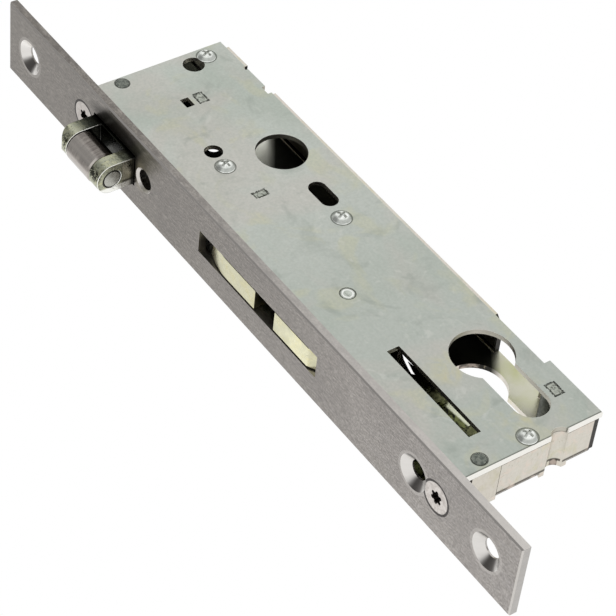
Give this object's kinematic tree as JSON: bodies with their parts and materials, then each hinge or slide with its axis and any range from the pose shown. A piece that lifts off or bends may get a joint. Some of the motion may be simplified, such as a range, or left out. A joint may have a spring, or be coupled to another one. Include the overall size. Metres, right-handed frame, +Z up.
{
  "type": "roller door lock",
  "caption": "Narrow mortise lock: long faceplate, slim sheet case with a profile-cylinder hole, sprung roller latch and a hook bolt that swings out.",
  "frame": {"origin": "centre of the faceplate's front face, midway between its two end screws and in the plane of the face", "axes": "+X through the case towards the cover, +Y into the door, +Z up along the faceplate"},
  "size_m": [0.024, 0.0606, 0.236],
  "materials": {
    "stainless_plate": "brushed lengthwise",
    "zinc_sheet": "dull zinc plating",
    "passivated_zinc": "yellow passivated",
    "plain_steel": "turned",
    "bright_steel": "polished",
    "dark_steel": "oiled",
    "spring_steel": "drawn wire and strip"
  },
  "bodies": {
    "case": {"faceplate": "stainless_plate", "case_base": "zinc_sheet", "case_cover": "zinc_sheet", "faceplate_screws": "bright_steel", "tapped_posts": "dark_steel", "cover_screws": "bright_steel", "screw_pillars": "bright_steel", "latch_spring": "spring_steel", "spring_seat": "passivated_zinc", "pivot_pin": "dark_steel", "pivot_collar": "bright_steel", "detent_spring": "spring_steel", "spring_anchor": "bright_steel", "bolt_stop": "dark_steel", "rear_spacer": "dark_steel"},
    "latch": {"roller_fork": "passivated_zinc", "roller_pin": "bright_steel", "fork_stem": "bright_steel", "stem_nut": "bright_steel", "stop_screw": "dark_steel"},
    "roller": {"roller": "plain_steel"},
    "bolt": {"hook_bolt": "passivated_zinc"},
    "slide": {"drive_slide": "passivated_zinc", "drive_pin": "bright_steel", "slide_studs": "bright_steel"}
  },
  "joints": [
    {"name": "latch_press", "type": "slide", "parent": "case", "child": "latch", "axis": [0, 1, 0], "range_m": [0, 0.0105], "stiffness_N_per_m": 3000, "springref_m": -0.005, "deforming": ["latch_spring"]},
    {"name": "roller_spin", "type": "hinge", "parent": "latch", "child": "roller", "pos_m": [0, -0.0071, 0.0609], "axis": [0, 0, 1], "continuous": true},
    {"name": "slide_lift", "type": "slide", "parent": "case", "child": "slide", "axis": [0, 0, 1], "range_m": [0, 0.0126], "deforming": ["detent_spring"]},
    {"name": "bolt_swing", "type": "hinge", "parent": "case", "child": "bolt", "pos_m": [0, 0.018, -0.0237], "axis": [1, 0, 0], "range_deg": [0, 70]}
  ],
  "couplings": [
    {"joint": "bolt_swing", "follows": "slide_lift", "rad_per_m": 96.93}
  ]
}
